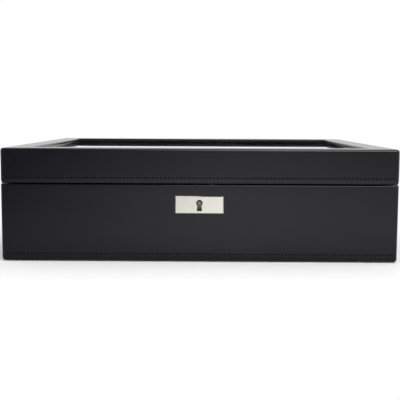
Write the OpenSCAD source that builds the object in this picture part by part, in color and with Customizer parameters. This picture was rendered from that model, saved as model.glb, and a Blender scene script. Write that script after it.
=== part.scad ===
// Watch box: leather-wrapped boards, a glazed lid on two butt hinges, a box lock and watch pillows.
// Millimetres. The origin is the middle of the underside, +Z is up and the front faces -Y.

/* [Case] */
// Overall width over the leather
box_w = 337; // [300:1:380]
// Overall depth over the leather, without the hinge barrels
box_d = 305; // [270:1:345]
// Height of the base, from the surface that it stands on to its rim
base_h = 66; // [63:0.5:80]
// Height of the lid, from its lower edge to the top of its frame
lid_h = 30; // [28:0.5:40]
// Gap at the seam between the base and the shut lid
seam_gap = 0.4; // [0.3:0.1:0.8]

/* [Leather] */
// Thickness of the leather
leather_t = 1.2; // [0.8:0.1:1.6]
// Rounding of the upright corners, inside the leather
corner_ease = 0.8; // [0.3:0.1:1.5]
// Rounding of the base's lower edge, inside the leather
foot_ease = 1.6; // [0.3:0.1:1.8]
// Rounding of the two edges at the seam, inside the leather
seam_ease = 0.2; // [0.1:0.1:1]
// Rounding of the lid's top outer edge, inside the leather
top_ease = 1.2; // [0.3:0.1:1.8]
// Rounding of the window's edge, inside the leather
window_ease = 0.3; // [0.1:0.1:1]

/* [Boards and lining] */
// Thickness of the base's wall boards
wall_t = 9; // [8.6:0.1:12]
// Thickness of the base's bottom board
bottom_t = 7; // [5:0.5:9]
// Thickness of the felt under the base
felt_t = 0.5; // [0.3:0.1:2]
// Distance of the felt's edge from the outer faces
felt_inset = 6; // [4:0.5:15]
// Thickness of the lining boards on the base's walls
lining_t = 2.5; // [1.5:0.1:4]
// Thickness of the floor lining
floor_t = 1.5; // [1:0.1:2.5]
// Height of the lining's lip above the base's rim
lip_h = 5; // [2:0.5:7]
// Gap between the lip and the lid's walls
lip_gap = 0.8; // [0.5:0.1:1.2]

/* [Lid] */
// Width of the lid's frame, from its outer face to the window
rim_w = 21.5; // [20:0.5:36]
// Depth of the glass below the top of the frame
glass_recess = 4.5; // [3:0.1:6]
// Thickness of the glass
glass_t = 3; // [2:0.1:4]
// How far the glass reaches under the frame's timber
glass_bite = 6; // [4:0.5:8]
// Gap round the edge of the glass
glass_gap = 0.3; // [0.2:0.1:0.6]
// Thickness of the frame's timber over the inside of the lid
frame_t = 11; // [10.5:0.5:13]
// Thickness of the lid's lining
lid_lining_t = 2; // [1:0.1:3]
// Gap between the base's lip and the lid's lining above it
lip_top_gap = 1; // [0.6:0.1:2]

/* [Compartments] */
// Compartments from left to right
columns = 5; // [3:1:6]
// Compartments from front to rear
rows = 3; // [2:1:4]
// Thickness of the dividers
divider_t = 4; // [2.5:0.1:6]
// Height of the dividers above the floor lining
divider_h = 44; // [30:0.5:48]
// Play in the dividers' halved joints and at their ends
divider_play = 0.2; // [0.1:0.05:0.4]

/* [Watch pillows] */
// Height of a pillow
pillow_h = 49; // [40:0.5:52]
// Gap on each side between a pillow and the walls of its compartment
pillow_side_gap = 1.5; // [0.8:0.1:3]
// Gap at each end between a pillow and the walls of its compartment
pillow_end_gap = 3; // [1:0.1:6]
// Gap between a pillow and the floor lining
pillow_seat_gap = 0.3; // [0.2:0.1:0.5]
// Depth of the flat that a pillow rests on
pillow_flat = 1.5; // [0.5:0.1:3]

/* [Lock] */
// Width of the lock plate
plate_w = 41; // [40:0.5:50]
// Height of the lock plate
plate_h = 15; // [14:0.5:20]
// How far the lock plate stands out from the leather
plate_proud = 0.9; // [0.5:0.1:1.5]
// Bevel round the face of the lock plate
plate_bevel = 0.6; // [0.2:0.1:0.8]
// Depth of the lock plate's middle below the base's rim
plate_drop = 17.1; // [15:0.1:20]
// Rise of the keyhole's round head above the lock plate's middle
keyhole_rise = 1.6; // [0.5:0.1:2.5]
// Radius of the keyhole's round head
keyhole_r = 2.8; // [2.4:0.1:3.2]
// Width of the keyhole's slot where it leaves the head
keyhole_neck = 3.2; // [2:0.1:4]
// Width of the keyhole's slot at its foot
keyhole_foot = 4.4; // [3:0.1:5]
// Length of the keyhole's slot below the middle of its head
keyhole_l = 6.8; // [5:0.1:7.5]
// Radius of the pins behind the lock plate
plate_pin_r = 0.7; // [0.5:0.1:0.8]
// Length of the pins behind the lock plate
plate_pin_l = 5; // [2:0.5:6]
// Radius of the drill pin that the key fits over
drill_pin_r = 1.2; // [0.8:0.1:1.5]
// Depth of the drill pin's tip below the leather's face
drill_pin_depth = 0.3; // [0:0.1:1]
// Width of the lock's case
case_w = 36; // [34:0.5:36.5]
// Height of the lock's case below the rim
case_h = 28; // [27:0.5:32]
// Depth of the lock's case from front to back
case_d = 7.2; // [6.8:0.1:7.5]
// Thickness of the lock's sheet metal
case_t = 1; // [0.8:0.1:1.2]
// Length of the lock's top plate
selvedge_w = 52; // [48:0.5:60]
// Width of the lock's top plate
selvedge_d = 6; // [5:0.1:6.4]
// How far the lock's top plate is let in below the leather
selvedge_seat = 0.3; // [0.2:0.1:1]
// Travel of the bolt
bolt_travel = 5; // [4:0.1:6]
// Height of the bolt
bolt_h = 4.5; // [4:0.1:5]
// Depth of the bolt's underside below the rim
bolt_drop = 9.5; // [9:0.1:10.5]
// Length of the bolt without its nose
bolt_l = 17; // [15:0.1:18]
// Thickness of the bolt's nose
nose_t = 2; // [1.6:0.1:2.4]
// Height of the bolt's nose
nose_h = 3.2; // [2.6:0.1:3.6]
// Distance of the unlocked bolt's shoulder from the box's middle, to the right
bolt_end_x = 4; // [3:0.1:5]
// Gap between the unlocked bolt's nose and the staple
nose_gap = 1; // [0.5:0.1:2]
// Room beside the bolt and inside the staple's window
bolt_gap = 0.4; // [0.3:0.1:0.6]
// Room under the bolt and over it
slide_gap = 0.1; // [0.05:0.05:0.2]
// Thickness of the ledges that the bolt slides on
ledge_t = 1.5; // [1:0.1:2]
// Width of the notch in the bolt that the key turns in
talon_w = 5; // [4:0.1:6]
// Height of the notch in the bolt
talon_h = 1.8; // [1:0.1:2.4]
// Thickness of the leaf spring over the bolt
spring_t = 0.4; // [0.3:0.1:0.6]
// Length of the strike on the lid
strike_w = 42; // [38:0.5:50]
// Width of the strike on the lid
strike_d = 5; // [4.6:0.1:5.4]
// Thickness of the strike on the lid
strike_t = 1.2; // [1:0.1:1.6]
// Thickness of the strike's staple along the bolt
staple_t = 2; // [1.5:0.1:2.5]
// Thickness of the staple's legs
staple_leg = 0.7; // [0.5:0.1:0.8]
// Height of the bar under the staple's window
staple_bar = 1.4; // [1:0.1:2]
// Distance of the strike's screws from the box's middle
strike_screw_x = 15; // [14:0.5:17]

/* [Hinges] */
// Distance of each hinge's middle from the nearer side of the box
hinge_inset = 73.5; // [60:0.5:100]
// Length of a hinge
hinge_l = 42; // [36:1:60]
// Reach of the leaves from the rear face into the wall
leaf_w = 8.5; // [7.8:0.1:8.8]
// Thickness of the leaves
leaf_t = 1.2; // [1:0.1:1.6]
// Radius of the knuckles
knuckle_r = 2.2; // [1.9:0.1:2.4]
// Radius of the hinge pin
pin_r = 1; // [0.8:0.05:1.2]
// Distance of the pin's middle behind the rear face
pin_out = 0.8; // [0.6:0.1:1.4]
// Gap between neighbouring knuckles
knuckle_gap = 0.2; // [0.1:0.05:0.4]
// Room round the barrel in the leather and the boards
barrel_gap = 0.3; // [0.3:0.1:0.6]
// Thickness of the pin's head
pin_head_t = 0.8; // [0.5:0.1:1.2]

/* [Screws and fits] */
// Radius of a screw's shank
screw_r = 1; // [0.8:0.1:1.2]
// Radius of a screw's countersunk head
screw_head_r = 1.9; // [1.6:0.1:2.1]
// Length of a screw
screw_l = 9; // [7:0.5:12]
// Distance of the outer screws from a hinge's middle
hinge_screw_x = 15; // [12:0.5:16]
// Width and depth of a screw's slot
slot_w = 0.5; // [0.4:0.1:0.7]
// Clearance of a pin in its hole, on the radius
pin_fit = 0.05; // [0.02:0.01:0.1]
// Clearance round screws and let-in hardware
fit = 0.1; // [0.05:0.01:0.15]

/* [Hidden] */
$fn = 48;
over = 1; // how far a cut runs past the face that it opens

// Levels
front_y = -box_d / 2;
rear_y = box_d / 2;
lid_z = base_h + seam_gap;
top_z = lid_z + lid_h;
floor_z = felt_t + bottom_t + floor_t;
frame_z = top_z - leather_t - frame_t;
glass_top_z = top_z - glass_recess;

// Distances in from the outer faces
wall_in = leather_t + wall_t;
lid_wall_in = wall_in - lip_gap;
inside = wall_in + lining_t;
timber_window = rim_w - leather_t;
rebate = timber_window - glass_bite;

// Outer radii of the leather
corner_r = corner_ease + leather_t;
foot_r = foot_ease + leather_t;
seam_r = seam_ease + leather_t;
top_r = top_ease + leather_t;
window_r = window_ease + leather_t;

// Compartments
cell_w = (box_w - 2 * inside - (columns - 1) * divider_t) / columns;
cell_d = (box_d - 2 * inside - (rows - 1) * divider_t) / rows;
function column_x(c) = -box_w / 2 + inside + (c - 0.5) * cell_w + (c - 1) * divider_t;
function row_y(r) = front_y + inside + (r - 0.5) * cell_d + (r - 1) * divider_t;
function cross_x(i) = column_x(i) + (cell_w + divider_t) / 2;
function long_y(i) = row_y(i) + (cell_d + divider_t) / 2;

// Pillows
pillow_w = cell_w - 2 * pillow_side_gap;
pillow_l = cell_d - 2 * pillow_end_gap;
pillow_mid = pillow_h / 2 - pillow_flat;
pillow_rings = 8;
pillow_sides = 24;
pillow_square = 3;
pillow_crown = 0.05;
pillow_end_draw = 0.2;
pillow_side_pull = 0.06;

// Lock
plate_z = base_h - plate_drop;
key_z = plate_z + keyhole_rise;
plate_pin_x = (case_w + plate_w) / 4;
plate_pin_root = leather_t / 2;
lock_y = front_y + wall_in - case_d / 2;
selvedge_t = leather_t + selvedge_seat;
case_z = base_h - case_h;
case_top_z = base_h - selvedge_t;
case_inner_w = case_w - 2 * case_t;
case_inner_d = case_d - 2 * case_t;
lock_screw_x = (case_w + selvedge_w) / 4;
bolt_z = base_h - bolt_drop;
bolt_d = case_inner_d - 2 * bolt_gap;
nose_z = bolt_z + (bolt_h - nose_h) / 2;
staple_x = bolt_end_x + bolt_travel + 2 * slide_gap;
nose_l = staple_x - bolt_end_x - nose_gap;
window_w = nose_t + 2 * bolt_gap;
window_z = nose_z - bolt_gap;
window_h = nose_h + 2 * bolt_gap;
staple_d = window_w + 2 * staple_leg;

// Hinges
hinge_x = box_w / 2 - hinge_inset;
pin_y = rear_y + pin_out;
pin_z = base_h + seam_gap / 2;
knuckle_l = (hinge_l - 2 * knuckle_gap) / 3;
hinge_screw_y = rear_y - (leaf_w + knuckle_r - pin_out) / 2;
screw_head_h = screw_head_r - screw_r;

LEATHER = "#2b2a2d";
BOARD = "#b08d5b";
SUEDE = "#45434a";
FELT = "#1e1e20";
NICKEL = "#d9d6cc";
STEEL = "#8a8883";
GLASS = [0.75, 0.85, 0.88, 0.35];

function pillow_name(r, c) = str("watch_pillow_", r, "_", c);
function cross_name(i) = str("cross_divider_", i);
function long_name(i) = str("long_divider_", i);

// Shapes that repeat

// A block that stands the same distance in from all four outer faces
module inset_block(inset, z0, z1) {
    translate([inset - box_w / 2, inset - box_d / 2, z0])
        cube([box_w - 2 * inset, box_d - 2 * inset, z1 - z0]);
}

// A rectangle from z0 to z1 with its own radius on the lower and on the upper corners
module round_panel(w, z0, z1, low_r, high_r) {
    translate([-w / 2, z0 + low_r])
        square([w, z1 - z0 - low_r - high_r]);
    translate([low_r - w / 2, z0])
        square([w - 2 * low_r, z1 - z0 - high_r]);
    translate([high_r - w / 2, z0 + low_r])
        square([w - 2 * high_r, z1 - z0 - low_r]);
    for (side = [-1, 1]) {
        translate([side * (w / 2 - low_r), z0 + low_r])
            circle(low_r);
        translate([side * (w / 2 - high_r), z1 - high_r])
            circle(high_r);
    }
}

// An outline in X and Z drawn right through from front to rear
module through_depth(depth) {
    translate([0, depth / 2, 0])
        rotate([90, 0, 0])
            linear_extrude(depth)
                children();
}

// An outline in Y and Z drawn right through from left to right
module through_width(width) {
    translate([-width / 2, 0, 0])
        rotate([90, 0, 90])
            linear_extrude(width)
                children();
}

// The outside of a leather-wrapped box, with every edge rounded
module wrapped_block(z0, z1, low_r, high_r) {
    intersection() {
        translate([0, 0, z0])
            linear_extrude(z1 - z0)
                translate([0, -box_d / 2])
                    round_panel(box_w, 0, box_d, corner_r, corner_r);
        through_depth(box_d)
            round_panel(box_w, z0, z1, low_r, high_r);
        through_width(box_w)
            round_panel(box_d, z0, z1, low_r, high_r);
    }
}

// The air over a window whose top edge rolls over
module window_outline(w) {
    translate([-w / 2, frame_z - over])
        square([w, top_z - frame_z + 2 * over]);
    difference() {
        translate([-w / 2 - window_r, top_z - window_r])
            square([w + 2 * window_r, window_r + over]);
        for (side = [-1, 1])
            translate([side * (w / 2 + window_r), top_z - window_r])
                circle(window_r);
    }
}

// The part of the case that one mitred side takes up, seen from above
module mitre_wedge(z0, z1, turn) {
    half = turn % 2 == 0 ? [box_w / 2, box_d / 2] : [box_d / 2, box_w / 2];
    reach = rim_w + over;
    rotate([0, 0, 90 * turn])
        translate([0, 0, z0])
            linear_extrude(z1 - z0)
                polygon([
                    [-half[0], -half[1]],
                    [half[0], -half[1]],
                    [half[0] - reach, reach - half[1]],
                    [reach - half[0], reach - half[1]]
                ]);
}

// A countersunk wood screw with its head's face at the origin and its shank downwards
module screw_body(grow) {
    translate([0, 0, -screw_head_h])
        cylinder(r1 = screw_r + grow, r2 = screw_head_r + grow, h = screw_head_h);
    translate([0, 0, -screw_l - grow])
        cylinder(r = screw_r + grow, h = screw_l + grow);
}

module wood_screw() {
    difference() {
        screw_body(0);
        translate([-screw_head_r, -slot_w / 2, -slot_w])
            cube([2 * screw_head_r, slot_w, slot_w + over]);
    }
}

module screw_hole() {
    screw_body(fit);
    cylinder(r = screw_head_r + fit, h = over);
}

// Where the screws go: on the lid the heads face down
module at_lock_screws() {
    for (side = [-1, 1])
        translate([side * lock_screw_x, lock_y, base_h])
            children();
}

module at_strike_screws() {
    for (side = [-1, 1])
        translate([side * strike_screw_x, lock_y, lid_z])
            rotate([180, 0, 0])
                children();
}

module at_hinge_screws(x, on_lid) {
    for (step = [-1, 0, 1])
        translate([x + step * hinge_screw_x, hinge_screw_y, on_lid ? lid_z : base_h])
            rotate([on_lid ? 180 : 0, 0, 0])
                children();
}

// The keyhole's outline in X and Z
module keyhole_outline(grow) {
    translate([0, key_z])
        circle(keyhole_r + grow);
    polygon([
        [-keyhole_neck / 2 - grow, key_z],
        [keyhole_neck / 2 + grow, key_z],
        [keyhole_foot / 2 + grow, key_z - keyhole_l - grow],
        [-keyhole_foot / 2 - grow, key_z - keyhole_l - grow]
    ]);
}

module keyhole_cut(grow, depth) {
    translate([0, front_y, 0])
        through_depth(2 * depth)
            keyhole_outline(grow);
}

// Cuts for the lock

module selvedge_block(grow, height) {
    translate([-selvedge_w / 2 - grow, lock_y - selvedge_d / 2 - grow, case_top_z - grow])
        cube([selvedge_w + 2 * grow, selvedge_d + 2 * grow, height]);
}

module lock_mortise() {
    pocket_d = case_d + fit + over;
    translate([-case_w / 2 - fit, front_y + wall_in - case_d - fit, case_z - fit])
        cube([case_w + 2 * fit, pocket_d, case_h + over]);
    selvedge_block(fit, selvedge_t + fit + over);
    keyhole_cut(2 * fit, wall_in);
    at_lock_screws()
        screw_hole();
    at_plate_pins()
        cylinder(r = plate_pin_r + pin_fit, h = plate_pin_l + fit);
}

module at_plate_pins() {
    for (side = [-1, 1])
        translate([side * plate_pin_x, front_y + leather_t, plate_z])
            rotate([-90, 0, 0])
                children();
}

// Cuts for the hinges: the leaf's mortise, the barrel's groove and the screw holes
module hinge_mortises(on_lid) {
    for (side = [-1, 1]) {
        x = side * hinge_x;
        translate([x - hinge_l / 2 - fit, rear_y - leaf_w - fit, on_lid ? lid_z - over : base_h - leaf_t])
            cube([hinge_l + 2 * fit, leaf_w + fit + over, leaf_t + over]);
        groove_l = hinge_l + 2 * (pin_head_t + barrel_gap);
        translate([x - groove_l / 2, pin_y, pin_z])
            rotate([0, 90, 0])
                cylinder(r = knuckle_r + barrel_gap, h = groove_l);
        at_hinge_screws(x, on_lid)
            screw_hole();
    }
}

// The base

module base_bottom_board() {
    color(BOARD)
        inset_block(wall_in, felt_t, felt_t + bottom_t);
}

module base_front_board() {
    color(BOARD)
        difference() {
            translate([leather_t - box_w / 2, front_y + leather_t, felt_t + leather_t])
                cube([box_w - 2 * leather_t, wall_t, base_h - felt_t - 2 * leather_t]);
            lock_mortise();
        }
}

module base_rear_board() {
    color(BOARD)
        difference() {
            translate([leather_t - box_w / 2, rear_y - wall_in, felt_t + leather_t])
                cube([box_w - 2 * leather_t, wall_t, base_h - felt_t - 2 * leather_t]);
            hinge_mortises(false);
        }
}

module base_side_board(side) {
    middle_x = side * (box_w - leather_t - wall_in) / 2;
    color(BOARD)
        translate([middle_x - wall_t / 2, front_y + wall_in, felt_t + leather_t])
            cube([wall_t, box_d - 2 * wall_in, base_h - felt_t - 2 * leather_t]);
}

module base_leather() {
    color(LEATHER)
        difference() {
            wrapped_block(felt_t, base_h, foot_r, seam_r);
            inset_block(leather_t, felt_t + leather_t, base_h - leather_t);
            inset_block(wall_in, felt_t - over, base_h + over);
            translate([-plate_w / 2 - fit, front_y - over, plate_z - plate_h / 2 - fit])
                cube([plate_w + 2 * fit, leather_t + 2 * over, plate_h + 2 * fit]);
            selvedge_block(fit, selvedge_t + fit + over);
            hinge_mortises(false);
        }
}

module underside_felt() {
    color(FELT)
        inset_block(felt_inset, 0, felt_t);
}

module floor_lining() {
    color(SUEDE)
        inset_block(wall_in, felt_t + bottom_t, floor_z);
}

module end_lining(side) {
    color(SUEDE)
        translate([wall_in - box_w / 2, side * (box_d / 2 - wall_in - lining_t / 2) - lining_t / 2, floor_z])
            cube([box_w - 2 * wall_in, lining_t, base_h + lip_h - floor_z]);
}

module side_lining(side) {
    color(SUEDE)
        translate([side * (box_w / 2 - wall_in - lining_t / 2) - lining_t / 2, front_y + inside, floor_z])
            cube([lining_t, box_d - 2 * inside, base_h + lip_h - floor_z]);
}

// A long divider is slotted from above, and a cross divider from below
module long_divider(i) {
    slot = divider_t + 2 * divider_play;
    length = box_w - 2 * inside - 2 * divider_play;
    color(SUEDE)
        difference() {
            translate([-length / 2, long_y(i) - divider_t / 2, floor_z])
                cube([length, divider_t, divider_h]);
            for (c = [1 : columns - 1])
                translate([cross_x(c) - slot / 2, long_y(i) - slot / 2, floor_z + divider_h / 2])
                    cube([slot, slot, divider_h]);
        }
}

module cross_divider(i) {
    slot = divider_t + 2 * divider_play;
    length = box_d - 2 * inside - 2 * divider_play;
    color(SUEDE)
        difference() {
            translate([cross_x(i) - divider_t / 2, -length / 2, floor_z])
                cube([divider_t, length, divider_h]);
            for (r = [1 : rows - 1])
                translate([cross_x(i) - slot / 2, long_y(r) - slot / 2, floor_z - over])
                    cube([slot, slot, divider_h / 2 + divider_play + over]);
        }
}

// The lock

// The lock plate's outline on one pair of sides: a flat back, and a face with bevelled edges
module plate_outline(w) {
    back = front_y + leather_t;
    face = front_y - plate_proud;
    polygon([
        [-w / 2, back],
        [w / 2, back],
        [w / 2, face + plate_bevel],
        [w / 2 - plate_bevel, face],
        [plate_bevel - w / 2, face],
        [-w / 2, face + plate_bevel]
    ]);
}

module lock_plate() {
    color(NICKEL) {
        difference() {
            intersection() {
                translate([0, 0, plate_z - plate_h / 2])
                    linear_extrude(plate_h)
                        plate_outline(plate_w);
                translate([-plate_w / 2, 0, plate_z])
                    rotate([0, 90, 0])
                        linear_extrude(plate_w)
                            plate_outline(plate_h);
            }
            keyhole_cut(0, leather_t + plate_proud + over);
        }
        at_plate_pins()
            translate([0, 0, -plate_pin_root])
                cylinder(r = plate_pin_r, h = plate_pin_root + plate_pin_l);
    }
}

// A tray that opens to the rear, with its top plate and two ledges for the bolt
module lock_case() {
    ledge_z = bolt_z - slide_gap - ledge_t;
    ledge_x = talon_w / 2 + bolt_gap;
    color(STEEL)
        difference() {
            union() {
                translate([-case_w / 2, lock_y - case_d / 2, case_z])
                    cube([case_w, case_d - case_t, case_top_z - case_z]);
                selvedge_block(0, selvedge_t);
            }
            difference() {
                translate([-case_inner_w / 2, lock_y - case_inner_d / 2, case_z + case_t])
                    cube([case_inner_w, case_inner_d + over, case_top_z - case_z - case_t]);
                translate([-case_w / 2, lock_y - case_d / 2, ledge_z])
                    cube([case_w / 2 - ledge_x, case_d, ledge_t]);
                translate([ledge_x, lock_y - case_d / 2, ledge_z])
                    cube([staple_x - bolt_gap - ledge_x, case_d, ledge_t]);
            }
            translate([staple_x - bolt_gap, lock_y - staple_d / 2 - bolt_gap, case_top_z - over])
                cube([staple_t + 2 * bolt_gap, staple_d + 2 * bolt_gap, selvedge_t + 2 * over]);
            keyhole_cut(fit, wall_in - case_d / 2);
            at_lock_screws()
                screw_hole();
        }
}

module lock_cover() {
    color(STEEL)
        difference() {
            translate([-case_w / 2, lock_y + case_d / 2 - case_t, case_z])
                cube([case_w, case_t, case_top_z - case_z]);
            translate([0, lock_y, key_z])
                rotate([-90, 0, 0])
                    cylinder(r = drill_pin_r + pin_fit, h = case_d);
        }
}

module lock_drill_pin() {
    color(STEEL)
        translate([0, front_y + drill_pin_depth, key_z])
            rotate([-90, 0, 0])
                cylinder(r = drill_pin_r, h = wall_in - drill_pin_depth);
}

// A leaf that bows down over the bolt from the underside of the top plate
module lock_spring() {
    half = bolt_l / 2;
    bow = case_top_z - bolt_z - bolt_h - 2 * slide_gap;
    bend_r = (half * half + bow * bow) / (2 * bow);
    color(NICKEL)
        translate([bolt_end_x - half, lock_y, 0])
            through_depth(bolt_d)
                intersection() {
                    translate([0, bolt_z + bolt_h + slide_gap + bend_r])
                        difference() {
                            circle(bend_r);
                            circle(bend_r - spring_t);
                        }
                    translate([-half, bolt_z])
                        square([2 * half, case_top_z - slide_gap - bolt_z]);
                }
}

module lock_screws() {
    color(NICKEL)
        at_lock_screws()
            wood_screw();
}

// The sliding bolt, with its nose to the right and a notch below that the key turns in
module lock_bolt() {
    color(STEEL)
        difference() {
            union() {
                translate([bolt_end_x - bolt_l, lock_y - bolt_d / 2, bolt_z])
                    cube([bolt_l, bolt_d, bolt_h]);
                translate([bolt_end_x - over, lock_y - nose_t / 2, nose_z])
                    cube([nose_l + over, nose_t, nose_h]);
            }
            translate([-talon_w / 2, lock_y - case_d / 2, bolt_z - over])
                cube([talon_w, case_d, talon_h + over]);
        }
}

// The plate under the lid's front rail, with the staple that the bolt's nose goes through
module lock_strike() {
    staple_z = window_z - staple_bar;
    color(NICKEL)
        difference() {
            union() {
                translate([-strike_w / 2, lock_y - strike_d / 2, lid_z])
                    cube([strike_w, strike_d, strike_t]);
                translate([staple_x, lock_y - staple_d / 2, staple_z])
                    cube([staple_t, staple_d, lid_z - staple_z + strike_t / 2]);
            }
            translate([staple_x - over, lock_y - window_w / 2, window_z])
                cube([staple_t + 2 * over, window_w, window_h]);
            at_strike_screws()
                screw_hole();
        }
}

module strike_screws() {
    color(NICKEL)
        at_strike_screws()
            wood_screw();
}

// The hinges

// A leaf with its knuckles: the base's leaf has the two outer ones, the lid's leaf the middle one
module hinge_leaf(x, on_lid) {
    leaf_z = on_lid ? lid_z : base_h - leaf_t;
    step = knuckle_l + knuckle_gap;
    color(NICKEL)
        difference() {
            union() {
                translate([x - hinge_l / 2, rear_y - leaf_w, leaf_z])
                    cube([hinge_l, leaf_w + pin_out - knuckle_r - barrel_gap, leaf_t]);
                for (k = on_lid ? [0] : [-1, 1])
                    translate([x + k * step - knuckle_l / 2, 0, 0]) {
                        translate([0, pin_y, pin_z])
                            rotate([0, 90, 0])
                                cylinder(r = knuckle_r, h = knuckle_l);
                        translate([0, rear_y - leaf_w, leaf_z])
                            cube([knuckle_l, leaf_w + pin_out, leaf_t]);
                    }
            }
            translate([x - hinge_l / 2 - over, pin_y, pin_z])
                rotate([0, 90, 0])
                    cylinder(r = pin_r + pin_fit, h = hinge_l + 2 * over);
            at_hinge_screws(x, on_lid)
                screw_hole();
        }
}

module hinge_pin(side) {
    head_r = (pin_r + knuckle_r) / 2;
    color(NICKEL)
        translate([side * hinge_x, pin_y, pin_z])
            rotate([0, side * 90, 0]) {
                translate([0, 0, -hinge_l / 2])
                    cylinder(r = pin_r, h = hinge_l);
                translate([0, 0, hinge_l / 2])
                    cylinder(r = head_r, h = pin_head_t);
            }
}

module hinge_screws(on_lid) {
    color(NICKEL)
        for (side = [-1, 1])
            at_hinge_screws(side * hinge_x, on_lid)
                wood_screw();
}

// The lid

// All four rails in one: walls, the wide frame over them, and the rebate for the glass
module lid_timber() {
    difference() {
        inset_block(leather_t, lid_z + leather_t, top_z - leather_t);
        inset_block(lid_wall_in, lid_z, frame_z);
        inset_block(rebate, lid_z, glass_top_z);
        inset_block(timber_window, lid_z, top_z);
        translate([-strike_w / 2 - fit, lock_y - strike_d / 2 - fit, lid_z - over])
            cube([strike_w + 2 * fit, strike_d + 2 * fit, strike_t + over]);
        at_strike_screws()
            screw_hole();
        hinge_mortises(true);
    }
}

// One mitred rail: turns of 0 to 3 give the front, right, rear and left
module lid_rail(turn) {
    color(BOARD)
        intersection() {
            lid_timber();
            mitre_wedge(lid_z, top_z, turn);
        }
}

module lid_leather() {
    color(LEATHER)
        difference() {
            wrapped_block(lid_z, top_z, seam_r, top_r);
            difference() {
                inset_block(leather_t, lid_z + leather_t, top_z - leather_t);
                inset_block(timber_window, glass_top_z, top_z);
            }
            inset_block(lid_wall_in, lid_z - over, glass_top_z);
            intersection() {
                through_depth(box_d)
                    window_outline(box_w - 2 * rim_w);
                through_width(box_w)
                    window_outline(box_d - 2 * rim_w);
            }
            translate([-strike_w / 2 - fit, lock_y - strike_d / 2 - fit, lid_z - over])
                cube([strike_w + 2 * fit, strike_d + 2 * fit, strike_t + over]);
            hinge_mortises(true);
        }
}

module lid_glass() {
    color(GLASS)
        inset_block(rebate + glass_gap, glass_top_z - glass_t, glass_top_z);
}

// Four covered strips under the glass, butted in the corners
module glass_beads() {
    edge = rebate + glass_gap;
    strip = timber_window - edge;
    corner = timber_window + glass_gap;
    bead_h = glass_top_z - glass_t - frame_z;
    color(SUEDE)
        for (side = [-1, 1]) {
            translate([edge - box_w / 2, side * (box_d / 2 - edge - strip / 2) - strip / 2, frame_z])
                cube([box_w - 2 * edge, strip, bead_h]);
            translate([side * (box_w / 2 - edge - strip / 2) - strip / 2, front_y + corner, frame_z])
                cube([strip, box_d - 2 * corner, bead_h]);
        }
}

// The lining round the inside of the lid: up the walls and out under the frame
module lid_lining() {
    color(SUEDE)
        difference() {
            inset_block(lid_wall_in, base_h + lip_h + lip_top_gap, frame_z);
            inset_block(lid_wall_in + lid_lining_t, base_h, frame_z - lid_lining_t);
            inset_block(timber_window, base_h, frame_z + over);
        }
}

// A watch pillow: a crowned bolster with drawn-in sides, flat where it rests

function soft_power(v, n) = sign(v) * pow(abs(v), 2 / n);

function pillow_point(t, a) =
    let (
        swell = 1 - pillow_crown * t * t - pillow_end_draw * pow(t, 6),
        pull = 1 - pillow_side_pull * pow(cos(2 * a), 2),
        rise = (pillow_h - pillow_mid) * swell * soft_power(sin(a), pillow_square)
    )
    [
        t * pull * pillow_w / 2,
        swell * soft_power(cos(a), pillow_square) * pillow_l / 2,
        max(0, pillow_mid + rise)
    ];

module watch_pillow(r, c) {
    angles = [for (j = [0 : pillow_sides - 1]) (j + 0.5) * 360 / pillow_sides];
    spread = [for (i = [0 : pillow_rings]) sin(180 * i / pillow_rings - 90)];
    ring_points = [for (t = spread, a = angles) pillow_point(t, a)];
    end_x = (1 - pillow_side_pull) * pillow_w / 2;
    first = len(ring_points);
    last_ring = pillow_rings * pillow_sides;
    points = concat(ring_points, [[-end_x, 0, pillow_mid], [end_x, 0, pillow_mid]]);
    skin = [
        for (i = [0 : pillow_rings - 1], j = [0 : pillow_sides - 1])
            let (
                a = i * pillow_sides + j,
                b = i * pillow_sides + (j + 1) % pillow_sides,
                d = a + pillow_sides,
                e = b + pillow_sides
            )
            each [[a, b, e], [a, e, d]]
    ];
    ends = [
        for (j = [0 : pillow_sides - 1])
            let (k = (j + 1) % pillow_sides)
            each [[first, k, j], [first + 1, last_ring + j, last_ring + k]]
    ];
    color(SUEDE)
        translate([column_x(c), row_y(r), floor_z + pillow_seat_gap])
            polyhedron(points, concat(skin, ends));
}

base_bottom_board();
base_front_board();
base_rear_board();
base_side_board(-1);  // base_left_board
base_side_board(1);  // base_right_board
base_leather();
underside_felt();
floor_lining();
end_lining(-1);  // front_lining
end_lining(1);  // rear_lining
side_lining(-1);  // left_lining
side_lining(1);  // right_lining
lock_plate();
lock_case();
lock_cover();
lock_drill_pin();
lock_spring();
lock_screws();
lock_bolt();
hinge_leaf(-hinge_x, false);  // hinge_base_leaf_left
hinge_leaf(hinge_x, false);  // hinge_base_leaf_right
hinge_pin(-1);  // hinge_pin_left
hinge_pin(1);  // hinge_pin_right
hinge_screws(false);  // hinge_base_screws
lid_rail(0);  // lid_front_rail
lid_rail(1);  // lid_right_rail
lid_rail(2);  // lid_rear_rail
lid_rail(3);  // lid_left_rail
lid_leather();
lid_glass();
glass_beads();
lid_lining();
lock_strike();
strike_screws();
hinge_leaf(-hinge_x, true);  // hinge_lid_leaf_left
hinge_leaf(hinge_x, true);  // hinge_lid_leaf_right
hinge_screws(true);  // hinge_lid_screws
for (i = [1 : rows - 1])
    long_divider(i);
for (i = [1 : columns - 1])
    cross_divider(i);
for (r = [1 : rows], c = [1 : columns])
    watch_pillow(r, c);
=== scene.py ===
"""Watch box: leather, stitching, lining, pillows, glass and hardware, built over the packed frame."""

import math
from typing import NamedTuple

import bmesh
import bpy
from bpy.props import FloatProperty, FloatVectorProperty, IntProperty, PointerProperty
from bpy.types import Operator, Panel, PropertyGroup
from mathutils import Matrix, Vector


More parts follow.
